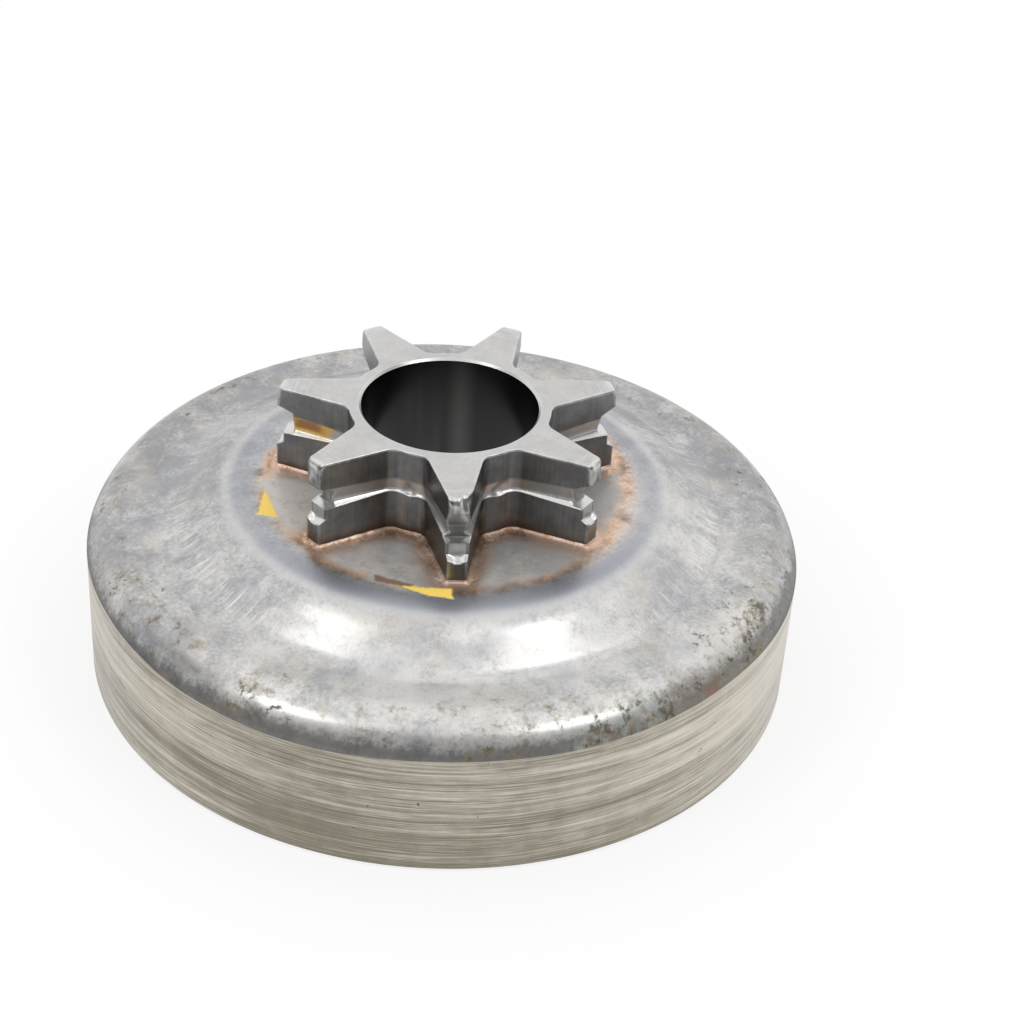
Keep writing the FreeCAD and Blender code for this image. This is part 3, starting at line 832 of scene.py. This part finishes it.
def drum_mesh(drum, sprocket):
    """The cup as one skin, with the distance to the teeth stored on it."""
    count = drum.segments
    turns = [-2 * math.pi * i / count for i in range(count)]
    sections = [drum_profile(drum, turn) for turn in turns]
    distance = star_distance(Outline(sprocket))
    rows, halos = [], []
    for k in range(len(sections[0])):
        row, halo = [], []
        for turn, section in zip(turns, sections):
            r, z = section[k]
            x, y = r * math.cos(turn), r * math.sin(turn)
            on_top = smooth(drum.shoulder_height - 1.0 * MM, drum.shoulder_height - 0.2 * MM, z)
            outside = smooth(sprocket.tip_radius + 1.0 * MM, sprocket.tip_radius + 3.0 * MM, r)
            hollow = 0.5 + 0.4 * wobble(x, y, 0, 0.13, 11) + 0.15 * wobble(x, y, 0, 0.45, 12)
            row.append((x, y, z - drum.unevenness * clamp(hollow) * on_top * outside))
            halo.append(distance(x, y) / MM if z > drum.boss_face - 0.3 * MM else FAR_FROM_BRAZE)
        rows.append(row)
        halos.append(halo)
    mesh = ringed_mesh("drum_skin", rows, {"braze_distance": halos})
    mesh.set_sharp_from_angle(angle=DRUM_CREASE)
    return mesh


def braze_colour(f, colours, place, distance):
    """Colour of the braze: copper near the teeth, grey film further out; distance in millimetres."""
    patch = f.noise(place, 0.5, 31.0, 5.0, 0.62)
    grain = f.noise(place, 3.2, 32.0, 4.0, 0.66)
    x, y, _ = f.split(place)
    r = (x * x + y * y).root()
    glint = f.noise(place, 1.1, 34.0, 4.0, 0.65)
    pink = f.mix(patch.ramp(0.42, 0.70), colours.copper, colours.copper_orange)
    pink = f.mix(glint.ramp(0.52, 0.68) * 0.7, pink, colours.copper_pale)
    stain = (patch + (grain - 0.5) * 0.6 + r.ramp(12.5, 10.0) * 0.12).ramp(0.50, 0.66)
    pink = f.mix(stain * 0.7, pink, colours.copper_brown)
    film = f.mix((patch - x * 0.014).ramp(0.3, 0.75), colours.film, colours.film_light)
    film = f.mix((glint + (grain - 0.5) * 0.5).ramp(0.48, 0.75) * 0.35, film, colours.copper_brown)
    share = (distance + (patch - 0.5) * 2.2 + (grain - 0.5) * 0.9).ramp(2.2, 0.5)
    return f.mix(share, film, pink), share


def drum_finish(colours):
    """Drawn and turned steel, stained, pitted and scuffed, with braze metal and paint on the boss, and with
    painted shade, light and reflections.
    """
    f = Finish.material("drum_steel")
    place = f.millimetres()
    x, y, z = f.split(place)
    r = (x * x + y * y).root()
    up = f.upward()
    cloud = f.noise(place, 0.12, 1.0, 4.0, 0.55, 0.5)
    patch = f.noise(place, 0.45, 2.0, 6.0, 0.66, 0.4)
    grain = f.noise(place, 2.6, 3.0, 6.0, 0.75)
    fleck = f.noise(place, 7.0, 4.0, 2.0, 0.6)

    def area(corners, soft=0.35):
        """1 inside a straight-sided area seen from above, its corners counter-clockwise."""
        inner = None
        for (ax, ay), (bx, by) in zip(corners, corners[1:] + corners[:1]):
            side = math.hypot(bx - ax, by - ay)
            depth = (y - ay) * ((bx - ax) / side) - (x - ax) * ((by - ay) / side)
            inner = depth if inner is None else inner.lower(depth)
        return (inner + 0.2 + (grain - 0.5) * 0.7 + (patch - 0.5) * 0.7).ramp(0.0, soft)

    def spot(px, py, reach):
        """1 round a point seen from above, 0 beyond its reach."""
        away = ((x - px) * (x - px) + (y - py) * (y - py)).root()
        return (away + (grain - 0.5) * reach).ramp(reach, reach * 0.35)

    # Drawn steel of the top, with painted shade that darkens it at the back and sides and lightens it at
    # the front, warm and blue stains and a frosted sparkle
    # Painted shade: darker at the back and sides, lighter at the front
    back_and_side_shade = (x * 0.08 - abs(x) * 0.3 - y * 0.5).ramp(-16.0, 14.0)
    tone = 0.5 + (back_and_side_shade - 0.5) * 0.4 + (cloud - 0.5) * 1.0 + (patch - 0.5) * 1.1 + (grain - 0.5) * 1.2
    top = f.mix(tone.ramp(0.1, 0.9), colours.steel_dark, colours.steel_light)
    warm = f.noise(place, 0.21, 5.0, 4.0, 0.6).ramp(0.48, 0.66)
    blue = f.noise(place, 0.19, 6.0, 4.0, 0.6).ramp(0.50, 0.66)
    top = f.mix(warm * 0.5, top, colours.steel_warm)
    # Painted reflection: a dark blue-grey ring round the film, strongest at the front
    dark_reflection_ring = r.near(19.0, 2.6) * (0.2 + patch * 0.6 + y.ramp(-6.0, -14.0) * 0.35)
    top = f.mix((blue * 0.35).higher(dark_reflection_ring), top, colours.steel_blue_and_shade)
    sparkle = spot(*SPARKLE) * 0.14
    frost = (fleck + sparkle).ramp(0.52, 0.72) * (patch + sparkle).ramp(0.46, 0.60) * r.ramp(18.0, 20.0)
    # Painted reflection: a light ring on the boss, added to the frosted flecks
    top = f.mix((frost * 0.55).higher(r.near(20.2, 1.0) * 0.3), top, colours.steel_frost_and_sheen)
    # Painted shade: a blue-grey line in the crease at the boss's foot, mostly on the right
    top = f.mix(r.near(25.4, 0.3) * patch.ramp(0.4, 0.6) * x.ramp(-8.0, 8.0) * 0.4, top, colours.steel_blue_and_shade)

    # Radial scuffs on the boss's slope
    spoke = f.noise(f.join(x / r * 24.0, y / r * 24.0, r * 0.05), 6.0, 7.0, 3.0, 0.6)
    scuff = spoke.ramp(0.50, 0.66) * r.near(24.2, 1.8) * abs(x).ramp(11.0, 18.0) * cloud.ramp(0.3, 0.5)
    top = f.mix(scuff * 0.9, top, colours.steel_frost_and_sheen)

    # Turned side band and friction wall, in long lines, with painted light towards the band's sides
    streak = f.noise(f.join(x * 0.008, y * 0.008, z), 8.0, 8.0, 4.0, 0.72)
    scratch = f.noise(f.join(x * 0.03, y * 0.03, z), 10.0, 18.0, 3.0, 0.7)
    coarse = f.noise(f.join(x * 0.03, y * 0.03, z), 1.0, 9.0, 4.0, 0.65)
    wide = f.noise(f.join(x * 0.25, y * 0.25, z * 0.7), 0.4, 10.0, 3.0, 0.6)
    lines = (streak - 0.5) * 1.7 + (scratch - 0.5) * 0.9
    lathe_and_side_sheen = 0.42 + lines * (0.5 + wide) + (coarse - 0.5) * 1.3
    # Darker towards the rim, with random patches
    lathe_and_side_sheen = lathe_and_side_sheen - z.ramp(8.0, 2.0) * 0.14 + (patch - 0.5) * 0.4
    # Painted light: lighter towards both sides and the right; also darker at the front left
    lathe_and_side_sheen = lathe_and_side_sheen + abs(x).ramp(14.0, 31.0) * 0.16 + x.ramp(2.0, 20.0) * 0.14 - x.near(-13.0, 12.0) * 0.12
    band = f.mix(lathe_and_side_sheen.ramp(0.05, 0.95), colours.band_dark, colours.band_light)
    side = up.ramp(0.12, 0.05) * up.ramp(-0.6, -0.4)
    base = f.mix(side, top, band)

    # Dark strip under the shoulder, a painted shade where it turns down to the band, and pits
    raised = z.ramp(10.5, 11.5)
    outer = (1 - side) * r.ramp(28.5, 30.0) * raised
    right = x.ramp(14.0, 24.0) * y.ramp(-4.0, -12.0)
    ragged = up + (patch - 0.5) * 0.32 + (grain - 0.5) * 0.4 - right * 0.2
    # Painted shade: dark where the shoulder turns down, darker where it faces further down
    shaded_strip = ragged.ramp(0.62, 0.42) * outer * (0.5 + up.ramp(0.5, 0.3) * 0.2)
    baked = x.ramp(7.0, 11.0) * x.ramp(29.0, 26.0) * y.ramp(-12.0, -17.0) * outer * up.ramp(0.96, 0.8)
    cluster = spot(*PIT_CLUSTER)
    hole = f.noise(place, 0.95, 11.0, 5.0, 0.7) + cluster * 0.05 + baked * 0.03
    crowd = f.noise(place, 0.14, 12.0, 3.0, 0.6).ramp(0.42, 0.60).higher(cluster).higher(baked)
    pits = (hole + up.near(0.66, 0.22) * 0.04).ramp(0.585, 0.67) * crowd * r.ramp(25.5, 29.0)
    pits = pits * (1 - side) * raised
    specks = f.noise(place, 1.4, 13.0, 3.0, 0.6).ramp(0.70, 0.73) * side
    # Painted shade of the strip under the shoulder
    base = f.mix(shaded_strip, base, colours.grime_and_shade)

    # Stains on the shoulder, most of them at the front right
    salt = f.noise(place, 0.7, 17.0, 5.0, 0.68).ramp(0.42, 0.58) * baked * x.ramp(20.0, 15.0)
    base = f.mix(salt * 0.75, base, colours.salt)
    yellow = f.noise(place, 0.7, 14.0, 5.0, 0.68) + baked * x.ramp(11.0, 16.0) * 0.1
    ochre = (yellow.ramp(0.57, 0.68) * outer).higher(hole.ramp(0.50, 0.60) * crowd * outer) * 0.55
    base = f.mix(ochre, base, colours.ochre)
    dirt = (pits * (0.5 + grain * 0.5)).higher(specks * 0.8)
    base = f.mix(dirt, base, colours.grime_and_shade)
    red = spot(*RED_STAIN) * 0.45 * outer * z.ramp(13.6, 13.0)
    base = f.mix(red, base, colours.red_stain)

    # Smooth braze film between the teeth, with a stained edge
    boss = z.ramp(17.2, 17.4)
    edge_of_film = r + (patch - 0.5) * 2.6 + (cloud - 0.5) * 2.4
    film = edge_of_film.ramp(17.5, 16.2) * boss
    brazed, copper_share = braze_colour(f, colours, place, f.painted("braze_distance"))
    base = f.mix(film * 0.95, base, brazed)
    presence = f.noise(place, 0.22, 15.0, 3.0, 0.6).ramp(0.38, 0.55)
    tide = edge_of_film.near(16.8, 1.0) * presence * boss
    tide_colour = f.mix(patch.ramp(0.4, 0.6), colours.copper_brown, colours.copper_orange)
    base = f.mix(tide * 0.75, base, tide_colour)
    bloom = edge_of_film.near(16.8, 1.8) * x.ramp(8.0, 14.0) * patch.ramp(0.34, 0.62) * boss
    bloom_colour = f.mix(grain.ramp(0.35, 0.65), colours.copper_orange, colours.copper_pale)
    base = f.mix(bloom * 0.7, base, bloom_colour)
    soot = area(SOOT_MARK, 0.3) * 0.85
    base = f.mix(soot, base, colours.copper_brown)

    # Yellow paint marks
    paint = area(PAINT_MARKS[0]).higher(area(PAINT_MARKS[1])) * boss
    base = f.mix(paint, base, colours.paint)

    # Frosted ring with a burnished shoulder, matt shaded strip, dirt and paint, and a shallow relief
    frosted = r.ramp(26.0, 27.5) * (1 - up.near(0.76, 0.16))
    rough = f.blend(frosted, 0.19 + patch * 0.12 + grain * 0.08, 0.42 + grain * 0.1)
    rough = f.blend(side, rough, 0.30 + streak * 0.14)
    rough = f.blend(r.ramp(20.5, 18.5), rough, 0.36)
    rough = f.blend(shaded_strip.higher(dirt).higher(paint), rough, 0.5)
    metal = 1 - paint.higher(pits * 0.6).higher(ochre * 0.4).higher(film * (0.65 - copper_share * 0.4))
    height = f.blend(side, grain * 0.6 + fleck * 0.4, streak) - pits * 1.5 - specks
    return f.surface(base, rough, metal, height, 0.016, 0.45)


def sprocket_finish(colours):
    """Turned top, milled flanks, ground bore, polished wear and a little rust, with painted shade in the
    bore and the worn slots, a painted reflection down the bore and a painted highlight on the edges.
    """
    f = Finish.material("sprocket_steel")
    place = f.millimetres()
    x, y, z = f.split(place)
    r = (x * x + y * y).root()
    lean_x, lean_y, up = f.split(f.node("ShaderNodeNewGeometry", output="Normal"))
    outward = (lean_x * x + lean_y * y) / r
    worn = f.painted("worn")
    edge = f.painted("edge")
    patch = f.noise(place, 0.6, 21.0, 5.0, 0.62)
    grain = f.noise(place, 3.2, 22.0, 4.0, 0.65)
    turned = f.noise(f.join(x * 0.05, y * 0.05, r), 6.0, 23.0, 4.0, 0.7)
    milled = f.noise(f.join(x, y, z * 0.03), 4.5, 24.0, 4.0, 0.7)

    # Milled flanks, darker and browner towards the foot
    flank = 0.42 + (milled - 0.5) * 0.4 + (patch - 0.5) * 0.7
    base = f.mix(flank.ramp(0.1, 0.9), colours.sprocket_dark, colours.sprocket_side)
    foot = z.ramp(19.6, 17.9) * r.ramp(13.0, 10.5) * patch.ramp(0.40, 0.60)
    base = f.mix(foot * 0.6, base, colours.copper_brown)

    # Turned top face, with rings that show near the tips
    face = up.ramp(0.6, 0.8)
    rings = (turned - 0.5) * r.ramp(11.5, 14.0) * 1.4
    plain = 0.5 + rings + (patch - 0.5) * 0.7 + (grain - 0.5) * 0.5
    face_colour = f.mix(plain.ramp(0.0, 1.0), colours.sprocket_top_dark, colours.sprocket_top)
    base = f.mix(face, base, face_colour)

    # Ground bore, painted nearly black as shade, with a painted reflection in a soft upright streak, and a
    # bright chamfer
    inside = r.ramp(8.3, 8.22)
    bore = inside * up.ramp(0.6, 0.4)
    fine = f.noise(f.join(x * 0.3, y * 0.3, z * 0.02), 1.0, 25.0, 2.0, 0.5)
    # Painted reflection: soft light streaks down the bore, strongest at its back
    painted_bore_reflection = fine.ramp(0.5, 0.75).higher(x.near(1.6, 1.6) * y.ramp(0.0, 4.0) * 0.6)
    # Painted shade: the bore is painted nearly black
    base = f.mix(bore, base, f.mix(painted_bore_reflection, colours.bore, colours.bore_reflection_streak))
    base = f.mix((inside - bore) * 0.8, base, colours.polish)

    # Metal polished by the chain, painted shade in the worn slots, bright corners partly painted as
    # highlight, and rust in one groove
    polish = worn * (0.55 + patch * 0.5)
    base = f.mix(polish, base, colours.polish)
    # Painted shade: the worn slot in each tip is darkened
    slot = outward.ramp(0.5, 0.8) * r.ramp(15.0, 14.5) * r.ramp(12.0, 13.0)
    base = f.mix(slot * (0.35 + patch * 0.6), base, colours.sprocket_dark)
    # Bright corners: rubbed edges, and partly a painted highlight along the top edges
    base = f.mix(edge * (patch + 0.2).ramp(0.5, 0.9) * 0.6, base, colours.polish)
    away_x = abs(x - RUST_MIDDLE[0]) / RUST_REACH[0]
    away_y = abs(y - RUST_MIDDLE[1]) / RUST_REACH[1]
    away_z = abs(z - RUST_MIDDLE[2]) / RUST_REACH[2]
    away = away_x.higher(away_y).higher(away_z)
    rust = (away + (patch - 0.5) * 0.9).ramp(1.0, 0.55) * (worn + 0.2).ramp(0.2, 0.5)
    rust_core = (away + (patch - 0.5) * 0.6).ramp(0.75, 0.3)
    base = f.mix(rust * 0.9, base, f.mix(rust_core, colours.rust_light, colours.rust))

    # Sheen and relief of each surface
    rough = f.blend(face, 0.24 + milled * 0.14, 0.30 + plain * 0.08)
    rough = f.blend(bore, rough, 0.20 + fine * 0.1)
    rough = f.blend(worn.higher(edge * 0.6), rough, 0.24 + patch * 0.08)
    height = f.blend(face, milled, rings + grain * 0.5)
    return f.surface(base, rough, 1 - rust * 0.8, height * (1 - bore.higher(worn)), 0.010, 0.4)


def braze_finish(colours):
    """Dull copper that fades into grey film at its edge, with brown stains in the roots."""
    f = Finish.material("copper_braze")
    place = f.millimetres()
    grain = f.noise(place, 3.2, 33.0, 4.0, 0.66)
    base, share = braze_colour(f, colours, place, f.painted("reach"))
    return f.surface(base, 0.22 + grain * 0.16, 0.35 + share * 0.45, grain, 0.05, 0.6)


class CLUTCH_OT_drum(bpy.types.Operator):
    """Build the drawn and turned drum"""

    bl_idname = "clutch.drum"
    bl_label = "Drum"

    def execute(self, context):
        scene = context.scene
        mesh = drum_mesh(scene.clutch_drum, scene.clutch_sprocket)
        add_piece("drum", mesh, drum_finish(scene.clutch_finishes), "clutch_drum")
        return {"FINISHED"}


class CLUTCH_OT_sprocket(bpy.types.Operator):
    """Build the worn spur sprocket"""

    bl_idname = "clutch.sprocket"
    bl_label = "Spur sprocket"

    def execute(self, context):
        scene = context.scene
        mesh = sprocket_mesh(scene.clutch_sprocket)
        steel = sprocket_finish(scene.clutch_finishes)
        add_piece("sprocket", mesh, steel, "spur_sprocket")
        return {"FINISHED"}


class CLUTCH_OT_braze(bpy.types.Operator):
    """Build the braze fillet round the foot of the teeth"""

    bl_idname = "clutch.braze"
    bl_label = "Braze fillet"

    def execute(self, context):
        scene = context.scene
        mesh = braze_mesh(scene.clutch_sprocket, scene.clutch_braze)
        add_piece("braze", mesh, braze_finish(scene.clutch_finishes), "braze_fillet")
        return {"FINISHED"}


def camera_matrix(studio):
    """Where the camera stands and how it is turned."""
    a, e = studio.azimuth, studio.elevation
    back = Vector((math.sin(a) * math.cos(e), -math.cos(a) * math.cos(e), math.sin(e)))
    right = Vector((math.cos(a), math.sin(a), 0.0))
    above = back.cross(right)
    c, s = math.cos(studio.roll), math.sin(studio.roll)
    axes = Matrix((right * c + above * s, above * c - right * s, back)).transposed()
    return Matrix.Translation(Vector(studio.aim) + back * studio.distance) @ axes.to_4x4()


class CLUTCH_OT_stage(bpy.types.Operator):
    """Build the floor, the lamps, the background and the camera"""

    bl_idname = "clutch.stage"
    bl_label = "Studio"

    def execute(self, context):
        scene = context.scene
        studio = scene.clutch_studio
        scene.view_settings.view_transform = "Standard"
        self.floor(scene, studio)
        self.lamps(scene, studio)
        self.background(scene, studio)
        lens = bpy.data.cameras.new("camera")
        lens.lens = studio.lens
        lens.sensor_width = SENSOR_WIDTH
        lens.clip_start = NEAREST_SEEN
        camera = bpy.data.objects.new("camera", lens)
        camera.matrix_world = camera_matrix(studio)
        scene.collection.objects.link(camera)
        scene.camera = camera
        return {"FINISHED"}

    def floor(self, scene, studio):
        """A pale floor that shows nearly white and keeps the shadow."""
        mesh = bpy.data.meshes.new("floor")
        corners = [(-1, -1), (1, -1), (1, 1), (-1, 1)]
        mesh.from_pydata([(FLOOR_REACH * x, FLOOR_REACH * y, 0) for x, y in corners], [], [(0, 1, 2, 3)])
        floor = bpy.data.objects.new("floor", mesh)
        floor.location.z = -FLOOR_GAP
        scene.collection.objects.link(floor)
        f = Finish.material("pale_floor")
        seen = f.ray("Camera").higher(f.ray("Glossy")).higher(f.ray("Transmission"))
        matt = f.node("ShaderNodeBsdfDiffuse", inputs={"Color": (*studio.floor_colour, 1.0)})
        white = f.node("ShaderNodeEmission", inputs={"Color": WHITE, "Strength": 1.0})
        shader = f.node("ShaderNodeMixShader", inputs={0: seen * studio.floor_white, 1: matt, 2: white})
        f.node("ShaderNodeOutputMaterial", inputs={"Surface": shader})
        mesh.materials.append(f.owner)

    def lamps(self, scene, studio):
        """Two lamps that shine on the boss, and two nearer the front that shine on the shoulder."""
        for name, (direction, power, width) in LAMPS.items():
            lamp = bpy.data.lights.new(name, "AREA")
            lamp.shape = "DISK"
            lamp.size = studio.lamp_size * width
            lamp.energy = studio.lamp_power * power
            item = bpy.data.objects.new(name, lamp)
            item.location = Vector(direction) * studio.lamp_distance
            item.rotation_euler = Vector(direction).to_track_quat("Z", "Y").to_euler()
            scene.collection.objects.link(item)

    def background(self, scene, studio):
        """Bright behind and overhead, dim low in front, and white to the camera."""
        world = bpy.data.worlds.new("studio")
        scene.world = world
        world.use_nodes = True
        f = Finish(world.node_tree)
        _, back, high = f.split(f.node("ShaderNodeTexCoord", output="Generated"))
        bright = back.ramp(-0.2, 0.4).higher(high.ramp(0.62, 0.88))
        room = studio.front_level + (1 - studio.front_level) * bright
        strength = f.blend(f.ray("Glossy"), studio.room_level, room).higher(f.ray("Camera"))
        shader = f.node("ShaderNodeBackground", inputs={"Color": WHITE, "Strength": strength})
        f.node("ShaderNodeOutputWorld", inputs={"Surface": shader})


class CLUTCH_PT_parts(bpy.types.Panel):
    """Pieces of the clutch drum and their sizes"""

    bl_label = "Clutch drum"
    bl_space_type = "VIEW_3D"
    bl_region_type = "UI"
    bl_category = "Clutch drum"

    def draw(self, context):
        for operator in OPERATORS:
            self.layout.operator(operator.bl_idname)
        for name in GROUPS:
            group = getattr(context.scene, name)
            box = self.layout.box()
            for key in group.__annotations__:
                box.prop(group, key)


GROUPS = {
    "clutch_drum": DrumSizes,
    "clutch_sprocket": SprocketSizes,
    "clutch_braze": BrazeSizes,
    "clutch_finishes": Finishes,
    "clutch_studio": Studio,
}
OPERATORS = (CLUTCH_OT_drum, CLUTCH_OT_sprocket, CLUTCH_OT_braze, CLUTCH_OT_stage)
CLASSES = (*GROUPS.values(), *OPERATORS, CLUTCH_PT_parts)


def register():
    for item in CLASSES:
        bpy.utils.register_class(item)
    for name, group in GROUPS.items():
        setattr(bpy.types.Scene, name, PointerProperty(type=group))


def unregister():
    for name in GROUPS:
        delattr(bpy.types.Scene, name)
    for item in reversed(CLASSES):
        bpy.utils.unregister_class(item)


def main():
    register()
    bpy.ops.clutch.drum()
    bpy.ops.clutch.sprocket()
    bpy.ops.clutch.braze()
    bpy.ops.clutch.stage()


if __name__ == "__main__":
    main()
